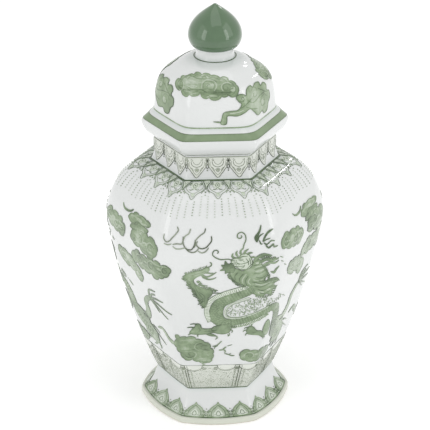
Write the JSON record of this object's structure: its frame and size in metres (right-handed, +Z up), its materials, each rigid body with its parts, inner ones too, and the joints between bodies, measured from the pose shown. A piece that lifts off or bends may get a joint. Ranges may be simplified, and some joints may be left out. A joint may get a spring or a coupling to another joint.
{
  "type": "ginger jar",
  "caption": "Six-sided lidded porcelain ginger jar: swelling body on a flared foot, upright neck, flanged dome lid that lifts off, and a bud-shaped knob.",
  "frame": {"origin": "centre of the foot on the surface that the jar stands on", "axes": "+Z up the jar's axis, -Y out of the middle of the front face, +X to a corner of the hexagon"},
  "size_m": [0.231, 0.2144, 0.4555],
  "materials": {
    "white_glaze": "clear glossy glaze over white porcelain",
    "green_glaze": "glossy sage green glaze",
    "green_enamel": "sage green painted decoration under the glaze",
    "bare_clay": "cream-white porcelain rim, wiped matt where it stands"
  },
  "bodies": {
    "jar": {"foot_ring": "bare_clay", "foot_skirt": "white_glaze", "base_floor": "white_glaze", "body_wall": "white_glaze", "neck_collar": "white_glaze"},
    "lid": {"lid_locating_ring": "white_glaze", "lid_flange": "white_glaze", "lid_dome": "white_glaze", "knob_collar": "white_glaze", "knob": "green_glaze"}
  },
  "joints": [
    {"name": "lid_lift", "type": "slide", "parent": "jar", "child": "lid", "axis": [0, 0, 1], "range_m": [0, 0.15]}
  ]
}
